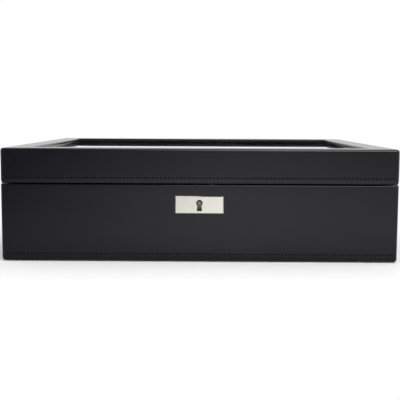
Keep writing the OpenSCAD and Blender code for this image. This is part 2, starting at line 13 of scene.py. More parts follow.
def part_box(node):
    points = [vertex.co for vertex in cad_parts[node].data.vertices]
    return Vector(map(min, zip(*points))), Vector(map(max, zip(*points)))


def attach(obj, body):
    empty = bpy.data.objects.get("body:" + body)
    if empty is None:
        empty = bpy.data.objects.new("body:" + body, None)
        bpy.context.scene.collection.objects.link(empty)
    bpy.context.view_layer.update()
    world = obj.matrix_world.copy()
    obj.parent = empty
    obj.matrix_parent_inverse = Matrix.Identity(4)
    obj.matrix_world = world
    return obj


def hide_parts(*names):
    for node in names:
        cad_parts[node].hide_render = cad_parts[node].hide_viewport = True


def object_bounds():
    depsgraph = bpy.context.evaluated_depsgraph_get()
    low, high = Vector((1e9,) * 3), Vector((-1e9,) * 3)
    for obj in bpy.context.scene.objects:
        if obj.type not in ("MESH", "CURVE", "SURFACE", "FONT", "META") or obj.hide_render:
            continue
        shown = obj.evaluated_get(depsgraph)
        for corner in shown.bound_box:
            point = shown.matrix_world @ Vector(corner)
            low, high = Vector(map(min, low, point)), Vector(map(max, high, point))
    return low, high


bl_info = {
    "name": "Watch box",
    "version": (1, 0, 0),
    "blender": (4, 5, 0),
    "location": "3D View > Sidebar > Watch box",
    "description": "Dresses a leather watch box with a glazed lid",
    "category": "Object",
}

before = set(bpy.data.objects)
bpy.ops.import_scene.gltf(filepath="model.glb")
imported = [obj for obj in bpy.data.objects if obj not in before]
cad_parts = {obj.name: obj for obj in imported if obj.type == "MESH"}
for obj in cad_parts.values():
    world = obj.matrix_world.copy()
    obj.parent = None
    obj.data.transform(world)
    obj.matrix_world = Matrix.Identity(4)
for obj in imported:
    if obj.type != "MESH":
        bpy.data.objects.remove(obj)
CAD_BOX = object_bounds()

MM = 0.001
TINY = 0.01 * MM
MERGE = TINY / 10
FLAT_ANGLE = math.radians(1)
SMOOTH_ANGLE = math.radians(35)
SENSOR = 36.0
FLOOR_SIZE = (12.0, 12.0)
FLOOR_GAP = 0.1 * MM
FLOOR_CARD_Z = 0.3 * MM

# Steps in the rounding of an edge
CORNER_STEPS = 6
RIM_STEPS = 5
PLATE_STEPS = 4
SUEDE_STEPS = 3
FELT_STEPS = 2
ARRIS_STEPS = 1

# Room that the hide leaves round what passes through it, and its lap over the lock's case
CUT_ROOM = 0.1 * MM
LEAF_ROOM = 0.15 * MM
BARREL_ROOM = 0.35 * MM
CASE_LAP = 0.5 * MM

# How near a point lies to the lid's outer faces to be part of their hide
SKIN_DEPTH = 4 * MM

STITCH_SIDES = 8
STITCH_RINGS = 6

# The colour sockets of a Mix node
MIX_A = 6
MIX_B = 7
MIX_RESULT = 2

# Lays a round shape's poles along X, so that a stitch tapers to its ends
STITCH_TURN = Matrix.Rotation(math.pi / 2, 4, "Y")

BASE_LOW, BASE_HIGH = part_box("base_leather")
LID_LOW, LID_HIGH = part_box("lid_leather")
PLATE_LOW, PLATE_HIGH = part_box("lock_plate")
GLASS_LOW, GLASS_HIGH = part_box("lid_glass")
LINING_NODES = ("floor_lining", "front_lining", "rear_lining", "left_lining", "right_lining")
DIVIDER_NODES = tuple(sorted(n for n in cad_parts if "_divider_" in n))
PILLOW_NODES = tuple(sorted(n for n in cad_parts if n.startswith("watch_pillow_")))
BOARD_NODES = tuple(sorted(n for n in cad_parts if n.endswith(("_board", "_rail"))))
HINGE_NODES = tuple(sorted(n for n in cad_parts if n.startswith("hinge_")))


class Lamp(NamedTuple):
    """A softbox: where it hangs and its side in metres, and its power in watts."""
    name: str
    place: tuple
    size: float
    power: float


class Card(NamedTuple):
    """A card for reflections: its middle, facing and size in metres, its tones along X and its glow."""
    name: str
    place: tuple
    facing: tuple
    size: tuple
    tones: tuple
    glow: float = 1.0


KEY_LAMP = Lamp("key_softbox", (0.42, -0.95, 1.35), 1.0, 15.0)
LAMPS = (
    KEY_LAMP,
    Lamp("fill_softbox", (-1.6, -0.3, 1.6), 1.2, 6.0),
    Lamp("rear_softbox", (0.2, 1.6, 1.8), 1.4, 12.0),
)
# What the leather mirrors, painted on glowing cards seen only in reflections: a painted glint of the key
# lamp, painted reflections of the room in front and overhead, darker towards the left, and of the floor
# in front, with painted shadow close to the box's foot
CARDS = (
    # A painted glint of the key lamp: a glowing card where the lamp hangs, which the lamp itself does
    # not give
    Card("key_glint", KEY_LAMP.place, (-0.42, 0.95, -1.3), (KEY_LAMP.size, KEY_LAMP.size),
         ("ffffff",), 5.4),
    # Painted reflections of the room: darker towards the left, and a brown-grey ceiling over the right
    Card("room_wall_reflection", (0.0, -2.6, 1.2), (0, 1, 0), (3.2, 2.4),
         ("000000", "000000", "a8a4a0", "827e7a", "827e7a")),
    Card("dark_ceiling_reflection", (0.77, -0.6, 2.4), (0, 0, -1), (1.6, 1.6), ("3a322b",)),
    Card("left_ceiling_reflection", (-1.0, -1.4, 2.4), (0, 0, -1), (1.8, 2.4),
         ("000000", "000000", "303030", "c8c8c8")),
    # Painted shadow: darker cards close to the box's foot, which the hide at the foot mirrors
    Card("contact_shadow_card", (0.0, -0.155, FLOOR_CARD_Z), (0, 0, 1), (0.6, 0.01), ("6a6a6a", "a8a8a8")),
    Card("foot_shadow_card", (0.0, -0.175, FLOOR_CARD_Z), (0, 0, 1), (0.6, 0.03), ("8c8c8c", "b4b4b4")),
    # Painted reflections of the floor in front, darker towards the left
    Card("close_floor_reflection", (0.03, -0.215, FLOOR_CARD_Z), (0, 0, 1), (1.6, 0.05),
         ("000000", "000000", "dcdcdc", "acacac", "acacac")),
    Card("middle_floor_reflection", (0.03, -0.275, FLOOR_CARD_Z), (0, 0, 1), (1.6, 0.07),
         ("000000", "000000", "eeeeee", "bababa", "bababa")),
    Card("near_floor_reflection", (0.03, -0.53, FLOOR_CARD_Z), (0, 0, 1), (1.6, 0.44),
         ("000000", "000000", "ffffff", "c8c8c8", "c8c8c8")),
    Card("far_floor_reflection", (0.1, -1.675, FLOOR_CARD_Z), (0, 0, 1), (2.4, 1.85),
         ("000000", "000000", "f4eee6", "949494", "949494")),
)


def linear(code):
    """The linear colour, with full alpha, of an sRGB hex value."""
    channels = [int(code[i:i + 2], 16) / 255 for i in (0, 2, 4)]
    rgb = [c / 12.92 if c <= 0.04045 else ((c + 0.055) / 1.055) ** 2.4 for c in channels]
    return (*rgb, 1.0)


def length(name, description, default):
    """A length that the user may change, in metres."""
    return FloatProperty(
        name=name, description=description, default=default, min=0, unit="LENGTH", precision=5)


def angle(name, description, degrees):
    """An angle that the user may change, written in degrees."""
    return FloatProperty(
        name=name, description=description, default=math.radians(degrees), unit="ROTATION")


def colour(name, description, code):
    """A colour that the user may change, written as an sRGB hex value."""
    return FloatVectorProperty(
        name=name, description=description, default=linear(code), size=4, min=0, max=1, subtype="COLOR")


# Settings

class LeatherSettings(PropertyGroup):
    """The wraps of the base and the lid."""
    thickness: length("Thickness", "Thickness of the hide", 1.2 * MM)
    base_round: length("Base rounding", "Radius of the base's upright corners and lower edge", 2.4 * MM)
    lid_round: length("Lid rounding", "Radius of the lid's upright corners and top edge", 2.5 * MM)
    base_rim: length("Base rim", "Radius of the base's top edge, at the seam", 0.7 * MM)
    lid_rim: length("Lid rim", "Radius of the lid's lower edge, at the seam", 0.6 * MM)
    window_round: length("Window rounding", "Radius of the edge round the window", 1.2 * MM)
    rim: length("Rim", "Width of the lid's frame round the window", 21.5 * MM)
    base_turn: length(
        "Base turn-in", "Width of the hide turned in at the base's rim and foot", 10.2 * MM)
    lid_turn: length("Lid turn-in", "Width of the hide turned in under the lid", 9.45 * MM)
    lid_tuck: length("Lid tuck", "Height of the hide turned up inside the lid", 6 * MM)
    skive: length("Skiving", "How much thinner the hide is at the front of the seam", 0.36 * MM)
    plump: length("Plumpness", "How much fuller the hide is just behind the front corners", 0.4 * MM)
    skive_width: length("Edge width", "How far in the hide's thinner or fuller edge reaches", 1.5 * MM)
    lid_lean: length(
        "Lid lean", "How far the hide draws in from the lid's stitches to its edge", 0.75 * MM)
    grain: length("Grain", "Spacing of the creases between the pores", 0.9 * MM)
    # The crease colour is painted shade: the creases are darker because they lie lower
    dark: colour("Dark", "Colour of the hide in its creases", "0d0c11")
    light: colour("Light", "Colour of the hide between its creases", "13121a")


class StitchSettings(PropertyGroup):
    """The two lines of stitching that run round the box."""
    pitch: length("Pitch", "Distance from one stitch to the next", 3.44 * MM)
    stitch: length("Stitch", "Length of a stitch from hole to hole", 2.1 * MM)
    thread: length("Thread", "Thickness of the thread", 1.6 * MM)
    proud: length("Proud", "How far the thread stands out of the hide", 0.25 * MM)
    groove: length("Groove depth", "Depth of the groove that the thread lies in", 0.05 * MM)
    groove_width: length("Groove width", "Width of the groove", 1.8 * MM)
    lid_rise: length("Lid line", "Height of the line above the lid's lower edge", 5.4 * MM)
    base_rise: length("Base line", "Height of the line above the foot of the base", 6.0 * MM)
    corner: length("Corner", "Distance of the first stitch from a corner", 4.5 * MM)
    thread_colour: colour("Thread colour", "Colour of the thread", "0a0a0b")


class LiningSettings(PropertyGroup):
    """The suede cloth on the inside of the box."""
    edge: length("Edge rounding", "Radius of the cloth over a board's edge", 0.8 * MM)
    nap: length("Nap", "Spacing of the fibres in the nap", 0.5 * MM)
    brushing: length("Brushing", "Width of the patches where the nap lies one way", 22 * MM)
    # The two nap colours are a painted sheen: lighter where the nap lies towards the eye, darker where
    # it lies away
    dark: colour("Dark nap", "Colour where the nap lies away", "28272b")
    light: colour("Light nap", "Colour where the nap lies towards the eye", "3a393f")
    felt: colour("Felt", "Colour of the felt under the base", "1e1e20")


class PillowSettings(PropertyGroup):
    """The padded pillows that the watches close round."""
    start: FloatProperty(
        name="Start", description="Size before it swells, as a share", default=0.95, min=0.5, max=1)
    voxel: length("Mesh", "Spacing of the cloth's mesh while it swells", 5 * MM)
    pressure: FloatProperty(name="Pressure", description="Pressure of the filling", default=4, min=0)
    frames: IntProperty(
        name="Frames", description="Steps that the cloth takes to settle", default=20, min=2)
    travel: length("Travel", "Furthest that the cloth may move as it swells", 4 * MM)
    fill: FloatProperty(name="Fill", description="How tightly it is filled", default=0.7, min=0, max=1)
    seam_inset: length("Seam inset", "Distance of the seams from the pillow's sides", 5 * MM)
    seam_depth: length("Seam depth", "Depth that a seam is drawn in", 0.9 * MM)
    # The two nap colours are a painted sheen: lighter where the nap lies towards the eye, darker where
    # it lies away
    dark: colour("Dark nap", "Colour where the nap lies away", "3b393d")
    light: colour("Light nap", "Colour where the nap lies towards the eye", "545157")


class HardwareSettings(PropertyGroup):
    """The lock, the hinges, the glass and the boards."""
    plate_edge: length("Plate edge", "Radius of the lock plate's polished edges", 0.38 * MM)
    glass_edge: length("Glass edge", "Width of the glass's ground arris", 0.4 * MM)
    nickel: colour("Nickel", "Colour of the polished nickel plate", "f0efe6")
    steel: colour("Steel", "Colour of the dulled steel in the lock", "bcb9ae")
    glass: colour("Glass", "Tint of the float glass", "f3f9f7")
    board: colour("Board", "Colour of the fibreboard", "a98556")


class StageSettings(PropertyGroup):
    """The floor, the lamps and the camera."""
    lens: FloatProperty(name="Lens", description="Focal length in millimetres", default=70.27, min=1)
    place: FloatVectorProperty(
        name="Place", description="Where the camera stands", default=(0.0052, -0.8091, 0.1232),
        unit="LENGTH")
    pitch: angle("Pitch", "Tilt of the camera downwards", 6.095)
    yaw: angle("Yaw", "Turn of the camera to the left", 0.411)
    roll: angle("Roll", "Lean of the camera to the left", 0.269)
    floor: colour("Floor", "Colour of the floor", "f2f2f2")
    shadow_reach: length(
        "Shadow reach", "Distance from the box at which the floor is pure white", 120 * MM)
    room_light: FloatProperty(
        name="Room light", description="Strength of the light all round", default=0.65, min=0)


# Meshes

def block(low, high):
    """A box between two corners."""
    bm = bmesh.new()
    bmesh.ops.create_cube(bm, size=1.0)
    bmesh.ops.scale(bm, vec=high - low, verts=bm.verts)
    bmesh.ops.translate(bm, vec=(low + high) / 2, verts=bm.verts)
    return bm


def edges_at(bm, level):
    """The edges that lie in a level plane."""
    return [e for e in bm.edges if all(abs(v.co.z - level) < TINY for v in e.verts)]


def upright_edges(bm):
    """The edges that stand upright."""
    return [e for e in bm.edges if abs(e.verts[0].co.z - e.verts[1].co.z) > e.calc_length() - TINY]


def round_edges(bm, edges, radius, segments):
    """Rounds the edges to a radius."""
    bmesh.ops.bevel(
        bm, geom=edges, offset=radius, offset_type="OFFSET", segments=segments, profile=0.5,
        affect="EDGES", material=-1, clamp_overlap=True)


def near(face, low, high):
    """Whether a face's own box reaches into the box between two corners."""
    for axis in range(3):
        spread = [v.co[axis] for v in face.verts]
        if max(spread) < low[axis] - TINY or min(spread) > high[axis] + TINY:
            return False
    return True


def bisect(bm, faces, point, normal):
    """Splits some of the faces where a plane crosses them."""
    edges = dict.fromkeys(e for f in faces for e in f.edges)
    verts = dict.fromkeys(v for f in faces for v in f.verts)
    bmesh.ops.bisect_plane(
        bm, geom=[*verts, *edges, *faces], dist=MERGE, plane_co=point, plane_no=normal)


def carve(bm, low, high):
    """Cuts a box-shaped opening in a sheet."""
    for axis in range(3):
        normal = Vector((axis == 0, axis == 1, axis == 2))
        for corner in (low, high):
            bisect(bm, [f for f in bm.faces if near(f, low, high)], corner, normal)
    inside = [
        f for f in bm.faces
        if all(low[a] < f.calc_center_median()[a] < high[a] for a in range(3))]
    bmesh.ops.delete(bm, geom=inside, context="FACES")


def groove(bm, level, depth, width):
    """Presses a rounded groove into the upright faces, all round."""
    steps = {-0.5: 0, -0.25: 0.5, 0: 1, 0.25: 0.5, 0.5: 0}
    for step in steps:
        bisect(bm, bm.faces[:], Vector((0, 0, level + step * width)), Vector((0, 0, 1)))
    bm.normal_update()
    for step, share in steps.items():
        ring = [v for v in bm.verts if abs(v.co.z - level - step * width) < TINY]
        for vert in ring:
            flat = Vector((vert.normal.x, vert.normal.y, 0)).normalized()
            vert.co -= flat * depth * share


def make_object(name, bm, material):
    """Makes an object of a finished bmesh, with its place in its mesh."""
    mesh = bpy.data.meshes.new(name)
    bm.to_mesh(mesh)
    bm.free()
    mesh.materials.append(material)
    mesh.polygons.foreach_set("use_smooth", [True] * len(mesh.polygons))
    mesh.set_sharp_from_angle(angle=SMOOTH_ANGLE)
    obj = bpy.data.objects.new(name, mesh)
    bpy.context.scene.collection.objects.link(obj)
    return obj


def flatten_shading(obj):
    """Lets the wide flat faces decide the shading of the rounded edges beside them."""
    weights = obj.modifiers.new("flat faces", "WEIGHTED_NORMAL")
    weights.mode = "FACE_AREA"
    weights.keep_sharp = True


def piece(obj, body, slot, *nodes):
    """Rides a piece on its body and lets it stand for CAD nodes, which it hides; the slot is not used.
    """
    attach(obj, body)
    if nodes:
        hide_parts(*nodes)


def softened(node, name, radius, segments, material):
    """A copy of a CAD node with its sharp edges rounded."""
    bm = bmesh.new()
    bm.from_mesh(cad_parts[node].data)
    bmesh.ops.remove_doubles(bm, verts=bm.verts, dist=MERGE)
    bmesh.ops.dissolve_limit(bm, angle_limit=FLAT_ANGLE, verts=bm.verts, edges=bm.edges)
    sharp = [e for e in bm.edges if e.is_manifold and e.calc_face_angle() > SMOOTH_ANGLE]
    round_edges(bm, sharp, radius, segments)
    obj = make_object(name, bm, material)
    flatten_shading(obj)
    return obj


def dress(nodes, material):
    """Gives CAD nodes that keep their own shape a finish."""
    for node in nodes:
        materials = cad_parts[node].data.materials
        materials.clear()
        materials.append(material)


# Materials

def add_node(tree, kind, inputs=None, **fields):
    """Adds a node, sets its own fields, and sets or links its inputs."""
    made = tree.nodes.new("ShaderNode" + kind)
    for field, value in fields.items():
        setattr(made, field, value)
    for key, value in (inputs or {}).items():
        if isinstance(value, bpy.types.NodeSocket):
            tree.links.new(value, made.inputs[key])
        else:
            made.inputs[key].default_value = value
    return made


def start_material(name, **constants):
    """A material with a bare shader, and the values that are the same all over on its own sockets."""
    material = bpy.data.materials.new(name)
    material.use_nodes = True
    tree = material.node_tree
    shader = tree.nodes["Principled BSDF"]
    for key, value in constants.items():
        shader.inputs[key.replace("_", " ")].default_value = value
    place = add_node(tree, "TexCoord").outputs["Object"]
    return material, tree, shader, place


def link_shader(tree, shader, **outputs):
    """Links patterns to the shader's inputs."""
    for key, output in outputs.items():
        tree.links.new(output, shader.inputs[key.replace("_", " ")])


def per(size):
    """The scale of a pattern whose features are that far apart."""
    return 1.0 / size


def noise(tree, place, size, **inputs):
    """A noise whose features are about that far apart."""
    return add_node(tree, "TexNoise", {"Vector": place, "Scale": per(size), **inputs}).outputs["Fac"]


def remap(tree, value, **limits):
    """A value taken from one range to another."""
    inputs = {key.replace("_", " "): limit for key, limit in limits.items()}
    return add_node(tree, "MapRange", {"Value": value, **inputs}).outputs["Result"]


def mix_colours(tree, factor, first, second):
    """The mix of two colours."""
    mix = add_node(tree, "Mix", {"Factor": factor, MIX_A: first, MIX_B: second}, data_type="RGBA")
    return mix.outputs[MIX_RESULT]


def raised(tree, height, strength, distance, **under):
    """The normals of a surface that a pattern raises."""
    inputs = {"Height": height, "Strength": strength, "Distance": distance, **under}
    return add_node(tree, "Bump", inputs).outputs["Normal"]


def mix_surfaces(tree, share, first, second):
    """Makes the surface of two shaders, the second by its share."""
    mix = add_node(tree, "MixShader", {0: share, 1: first, 2: second})
    tree.links.new(mix.outputs["Shader"], tree.nodes["Material Output"].inputs["Surface"])


def leather_material(settings):
    # Dyed cowhide with a sealed finish: near black and softly glossy, with fine creases between the
    # pores, painted a little darker as painted shade, faint cloudiness in the gloss and a slow swell
    # where the hide lies over the board.
    material, tree, shader, place = start_material("Black finished cowhide", IOR=1.45)
    creases = add_node(
        tree, "TexVoronoi", {"Vector": place, "Scale": per(settings.grain)}, feature="DISTANCE_TO_EDGE")
    grain = remap(tree, creases.outputs["Distance"], From_Max=0.18)
    clouds = noise(tree, place, 14 * MM, Detail=3.0)
    waves = noise(tree, place, 70 * MM, Detail=1.0)
    tone = mix_colours(tree, grain, settings.dark, settings.light)
    gloss = remap(tree, clouds, From_Min=0.3, From_Max=0.7, To_Min=0.18, To_Max=0.23)
    slow = raised(tree, waves, strength=0.5, distance=0.25 * MM)
    fine = raised(tree, grain, strength=0.12, distance=0.05 * MM, Normal=slow)
    link_shader(tree, shader, Base_Color=tone, Roughness=gloss, Normal=fine)
    return material


def thread_material(settings):
    # Waxed thread: black and dull, since its wax is matt and light is lost between its fibres, with its
    # plies showing as slanted ridges across a stitch, painted darker between the ridges as painted
    # shade.
    material, tree, shader, place = start_material(
        "Waxed black thread", Roughness=1.0, Specular_IOR_Level=0.02)
    plies = add_node(
        tree, "TexWave", {"Vector": place, "Scale": per(3 * settings.thread), "Distortion": 0.5},
        bands_direction="DIAGONAL").outputs["Fac"]
    tone = mix_colours(tree, plies, linear("060606"), settings.thread_colour)
    ridges = raised(tree, plies, strength=0.6, distance=0.1 * MM)
    link_shader(tree, shader, Base_Color=tone, Normal=ridges)
    return material


def suede_material(name, nap, brushing, dark, light):
    # Microfibre suede: matt, with a short nap that catches light at its edges, brushed into patches that
    # are painted lighter or darker as a painted sheen of the nap, and single fibres too fine to show
    # except as a slight tooth.
    material, tree, shader, place = start_material(
        name, Roughness=0.95, Sheen_Weight=0.25, Sheen_Roughness=0.45, Specular_IOR_Level=0.2)
    patches = noise(tree, place, brushing, Detail=4.0, Distortion=0.6)
    fibres = noise(tree, place, nap, Detail=2.0)
    # Painted sheen: the patches take the lighter or darker nap colour
    lie = remap(tree, patches, From_Min=0.35, From_Max=0.65)
    nap_sheen_and_fibres = add_node(tree, "Math", {0: lie, 1: fibres}, operation="MULTIPLY")
    tone = mix_colours(tree, nap_sheen_and_fibres.outputs["Value"], dark, light)
    tooth = raised(tree, fibres, strength=0.35, distance=0.2 * MM)
    link_shader(tree, shader, Base_Color=tone, Normal=tooth)
    return material


def felt_material(settings):
    # Pressed wool felt: black, matt and hairy, with loose fibres lying every way.
    material, tree, shader, place = start_material(
        "Pressed felt", Roughness=1.0, Sheen_Weight=0.2, Specular_IOR_Level=0.1)
    hairs = noise(tree, place, 0.8 * MM, Detail=5.0, Distortion=2.0)
    tone = mix_colours(tree, hairs, linear("0f0f10"), settings.felt)
    tooth = raised(tree, hairs, strength=0.6, distance=0.3 * MM)
    link_shader(tree, shader, Base_Color=tone, Normal=tooth)
    return material


def glass_material(settings):
    # Clear float glass with a faint green cast. Light for the inside of the box passes straight through,
    # so shadow rays meet a clear surface.
    material, tree, shader, _ = start_material(
        "Float glass", Base_Color=settings.glass, Roughness=0.0, IOR=1.52, Transmission_Weight=1.0)
    shadow = add_node(tree, "LightPath").outputs["Is Shadow Ray"]
    clear = add_node(tree, "BsdfTransparent", {"Color": settings.glass})
    mix_surfaces(tree, shadow, shader.outputs["BSDF"], clear.outputs["BSDF"])
    return material


def nickel_material(settings):
    # Nickel plate, machine polished: a bright, slightly warm mirror with hairline scratches from
    # handling and a faint haze of finger marks.
    material, tree, shader, place = start_material("Polished nickel plate", Metallic=1.0)
    haze = noise(tree, place, 6 * MM, Detail=3.0)
    stretched = add_node(tree, "Mapping", {"Vector": place, "Scale": (0.04, 1.0, 1.0)})
    hairlines = noise(tree, stretched.outputs["Vector"], 0.35 * MM, Detail=2.0)
    tone = mix_colours(tree, haze, linear("e4e2d9"), settings.nickel)
    gloss = remap(tree, haze, From_Min=0.35, From_Max=0.65, To_Min=0.07, To_Max=0.14)
    scratches = raised(tree, hairlines, strength=0.08, distance=0.01 * MM)
    link_shader(tree, shader, Base_Color=tone, Roughness=gloss, Normal=scratches)
    return material


def steel_material(settings):
    # Rolled steel sheet, dulled by oil and handling: mid grey, with fine lines along the rolling and
    # darker bloom in patches.
    material, tree, shader, place = start_material("Dulled rolled steel", Metallic=1.0)
    stretched = add_node(tree, "Mapping", {"Vector": place, "Scale": (0.05, 1.0, 1.0)})
    lines = noise(tree, stretched.outputs["Vector"], 0.3 * MM, Detail=2.0)
    bloom = noise(tree, place, 5 * MM, Detail=3.0)
    tone = mix_colours(tree, bloom, linear("7c7970"), settings.steel)
    gloss = remap(tree, lines, To_Min=0.32, To_Max=0.48)
    ridges = raised(tree, lines, strength=0.15, distance=0.02 * MM)
    link_shader(tree, shader, Base_Color=tone, Roughness=gloss, Normal=ridges)
    return material


def board_material(settings):
    # Medium-density fibreboard: matt, pale brown, speckled with short fibres of two browns. The lid's
    # rebate is inked black, because it shows through the edge of the glass.
    material, tree, shader, place = start_material("Fibreboard", Roughness=0.85, Specular_IOR_Level=0.3)
    fibres = noise(tree, place, 0.7 * MM, Detail=4.0, Distortion=1.0)
    browns = mix_colours(tree, fibres, linear("8a683f"), settings.board)
    height = add_node(tree, "SeparateXYZ", {"Vector": place}).outputs["Z"]
    ink = add_node(tree, "Math", {0: height, 1: GLASS_LOW.z}, operation="GREATER_THAN")
    tone = mix_colours(tree, ink.outputs["Value"], browns, linear("0b0b0c"))
    tooth = raised(tree, fibres, strength=0.3, distance=0.05 * MM)
    link_shader(tree, shader, Base_Color=tone, Normal=tooth)
    return material


# Pieces

def opening(bm, x, y, z):
    """Cuts an opening between pairs of X, Y and Z values."""
    carve(bm, Vector((x[0], y[0], z[0])), Vector((x[1], y[1], z[1])))


def hinge_openings(bm, level):
    """Cuts a wrap away for the hinge leaves and barrels, on both sides of the seam's level."""
    rear = BASE_HIGH.y
    for side in ("left", "right"):
        low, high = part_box(f"hinge_base_leaf_{side}")
        pin_low, pin_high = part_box(f"hinge_pin_{side}")
        opening(bm, (low.x - LEAF_ROOM, high.x + LEAF_ROOM), (low.y - LEAF_ROOM, rear + MM),
                (level - MM, level + MM))
        inward = high.y - rear + 2 * BARREL_ROOM
        reach = level - low.z + BARREL_ROOM
        opening(bm, (pin_low.x - BARREL_ROOM, pin_high.x + BARREL_ROOM), (rear - inward, rear + MM),
                (level - reach, level + reach))


def base_wrap(settings, stitches, material):
    """The hide round the base, turned in over its rim and under its foot."""
    bm = block(BASE_LOW, BASE_HIGH)
    round_edges(bm, upright_edges(bm) + edges_at(bm, BASE_LOW.z), settings.base_round, CORNER_STEPS)
    rim = shape_rim(bm, BASE_HIGH.z, 1, settings, settings.base_round)
    round_edges(bm, rim, settings.base_rim, RIM_STEPS)
    turn = Vector((settings.base_turn, settings.base_turn, -MM))
    carve(bm, BASE_LOW + turn, BASE_HIGH - turn)
    groove(bm, BASE_LOW.z + stitches.base_rise, stitches.groove, stitches.groove_width)
    opening(bm, (PLATE_LOW.x - CUT_ROOM, PLATE_HIGH.x + CUT_ROOM), (PLATE_LOW.y, BASE_LOW.y + MM),
            (PLATE_LOW.z - CUT_ROOM, PLATE_HIGH.z + CUT_ROOM))
    case_low, case_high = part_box("lock_case")
    opening(bm, (case_low.x - CUT_ROOM, case_high.x + CUT_ROOM),
            (case_low.y + CASE_LAP, case_high.y - CASE_LAP), (BASE_HIGH.z - MM, BASE_HIGH.z + MM))
    hinge_openings(bm, BASE_HIGH.z)
    return finish_wrap("base_leather_wrap", bm, settings, material)


def lid_wrap(settings, stitches, material):
    """The hide over the lid's frame, turned down to the glass and in under the lower edge."""
    bm = block(LID_LOW, LID_HIGH)
    round_edges(bm, upright_edges(bm) + edges_at(bm, LID_HIGH.z), settings.lid_round, CORNER_STEPS)
    rim = shape_rim(bm, LID_LOW.z, -1, settings, settings.lid_round)
    round_edges(bm, rim, settings.lid_rim, RIM_STEPS)
    window_low = Vector((LID_LOW.x + settings.rim, LID_LOW.y + settings.rim, LID_HIGH.z - MM))
    window_high = Vector((LID_HIGH.x - settings.rim, LID_HIGH.y - settings.rim, LID_HIGH.z + MM))
    carve(bm, window_low, window_high)
    turn_wall(bm, LID_HIGH.z, GLASS_HIGH.z - LID_HIGH.z, settings.window_round)
    turn_low = Vector((LID_LOW.x + settings.lid_turn, LID_LOW.y + settings.lid_turn, LID_LOW.z - MM))
    turn_high = Vector((LID_HIGH.x - settings.lid_turn, LID_HIGH.y - settings.lid_turn, LID_LOW.z + MM))
    carve(bm, turn_low, turn_high)
    turn_wall(bm, LID_LOW.z, settings.lid_tuck, settings.lid_rim)
    groove(bm, LID_LOW.z + stitches.lid_rise, stitches.groove, stitches.groove_width)
    draw_in(bm, LID_LOW.z + stitches.lid_rise - stitches.groove_width, settings.lid_lean)
    strike_low, strike_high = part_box("lock_strike")
    opening(bm, (strike_low.x - CUT_ROOM, strike_high.x + CUT_ROOM),
            (strike_low.y - CUT_ROOM, strike_high.y + CUT_ROOM), (LID_LOW.z - MM, LID_LOW.z + MM))
    hinge_openings(bm, LID_LOW.z)
    return finish_wrap("lid_leather_wrap", bm, settings, material)


def shape_rim(bm, level, out, settings, fade):
    """Pares the hide at the front of the seam, plumps it behind the corners and gives its edges."""
    flat = [f for f in bm.faces if all(abs(v.co.z - level) < TINY for v in f.verts)]
    bmesh.ops.inset_individual(bm, faces=flat, thickness=settings.skive_width, use_even_offset=True)
    inner = {v for f in flat for v in f.verts}
    outer = {v for v in bm.verts if abs(v.co.z - level) < TINY and v not in inner}
    front = min(v.co.y for v in outer)
    rear = max(v.co.y for v in outer)
    for vert in outer:
        behind = vert.co.y - front
        pared = max(0, 1 - behind / fade)
        plump = max(0, 1 - pared - behind / (rear - front))
        vert.co.z += out * (settings.plump * plump - settings.skive * pared)
    return [e for e in bm.edges if outer.issuperset(e.verts)]


def draw_in(bm, level, depth):
    """Curves the lid's outer faces in below a level, more and more towards the lower edge."""
    centre = (LID_LOW + LID_HIGH) / 2
    half = (LID_HIGH - LID_LOW) / 2
    drop = level - LID_LOW.z
    for share in (0, 0.25, 0.5, 0.75):
        bisect(bm, bm.faces[:], Vector((0, 0, level - drop * share)), Vector((0, 0, 1)))
    for vert in bm.verts:
        share = (level - vert.co.z) / drop
        out = vert.co - centre
        if share > 0 and any(abs(out[axis]) > half[axis] - SKIN_DEPTH for axis in (0, 1)):
            for axis in (0, 1):
                vert.co[axis] -= out[axis] / half[axis] * depth * share ** 2


def turn_wall(bm, level, height, radius):
    """Turns the hide up or down at the open edge in a level plane, over a rounded edge."""
    rim = [e for e in edges_at(bm, level) if e.is_boundary]
    made = bmesh.ops.extrude_edge_only(bm, edges=rim)["geom"]
    moved = [v for v in made if isinstance(v, bmesh.types.BMVert)]
    bmesh.ops.translate(bm, vec=(0, 0, height), verts=moved)
    bmesh.ops.recalc_face_normals(bm, faces=bm.faces)
    round_edges(bm, rim, radius, RIM_STEPS)


def finish_wrap(name, bm, settings, material):
    """Gives a sheet of hide its thickness, inwards from its outer face."""
    bmesh.ops.recalc_face_normals(bm, faces=bm.faces)
    obj = make_object(name, bm, material)
    hide = obj.modifiers.new("hide", "SOLIDIFY")
    hide.thickness = settings.thickness
    hide.offset = -1.0
    hide.use_even_offset = True
    flatten_shading(obj)
    return obj


def stitch_line(name, low, high, level, settings, material):
    """One line of stitches round four sides, each a little proud and drawn down at its ends."""
    single = bmesh.new()
    shape = Matrix.Diagonal((settings.stitch / 2, settings.thread / 2, settings.thread / 2, 1))
    bmesh.ops.create_uvsphere(
        single, u_segments=STITCH_SIDES, v_segments=STITCH_RINGS, radius=1, matrix=shape @ STITCH_TURN)
    stitch = bpy.data.meshes.new("stitch")
    single.to_mesh(stitch)
    single.free()
    bm = bmesh.new()
    centre = (low + high) / 2
    half = (high - low) / 2
    middle = Matrix.Translation((centre.x, centre.y, level))
    sink = settings.thread / 2 - settings.proud
    for turn in range(4):
        run, out = (half.x, half.y) if turn % 2 == 0 else (half.y, half.x)
        count = int((2 * run - 2 * settings.corner) / settings.pitch) + 1
        first = -(count - 1) * settings.pitch / 2
        spin = middle @ Matrix.Rotation(turn * math.pi / 2, 4, "Z")
        for i in range(count):
            placed = stitch.copy()
            placed.transform(spin @ Matrix.Translation((first + i * settings.pitch, sink - out, 0)))
            bm.from_mesh(placed)
            bpy.data.meshes.remove(placed)
    bpy.data.meshes.remove(stitch)
    return make_object(name, bm, material)


